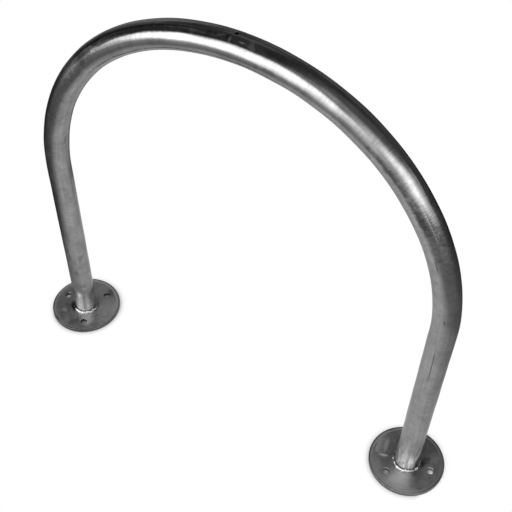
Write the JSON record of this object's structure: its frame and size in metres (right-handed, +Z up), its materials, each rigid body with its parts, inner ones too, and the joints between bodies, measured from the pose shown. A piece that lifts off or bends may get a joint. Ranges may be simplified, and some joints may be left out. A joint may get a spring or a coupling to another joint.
{
  "type": "hoop bike rack",
  "caption": "Arched steel pipe hoop for locking bicycles to, welded at each foot to a round base flange drilled for bolting to paving.",
  "frame": {"origin": "on the ground, midway between the two feet and under the middle of the hoop", "axes": "+X along the hoop from the left foot to the right foot, +Y through the hoop, +Z up"},
  "size_m": [0.9678, 0.155, 0.892],
  "materials": {
    "pipe": "semi-bright steel with fine scratches across the pipe, streaks, stains and a few scuffs",
    "flange": "mill-finished plate with cloudy blotches of duller and brighter steel, and a dark sheared edge",
    "weld": "bright rippled weld metal with dark pits along its toe"
  },
  "bodies": {
    "root": {"hoop_tube": "pipe", "left_base_flange": "flange", "right_base_flange": "flange", "left_weld_bead": "weld", "right_weld_bead": "weld"}
  },
  "joints": []
}
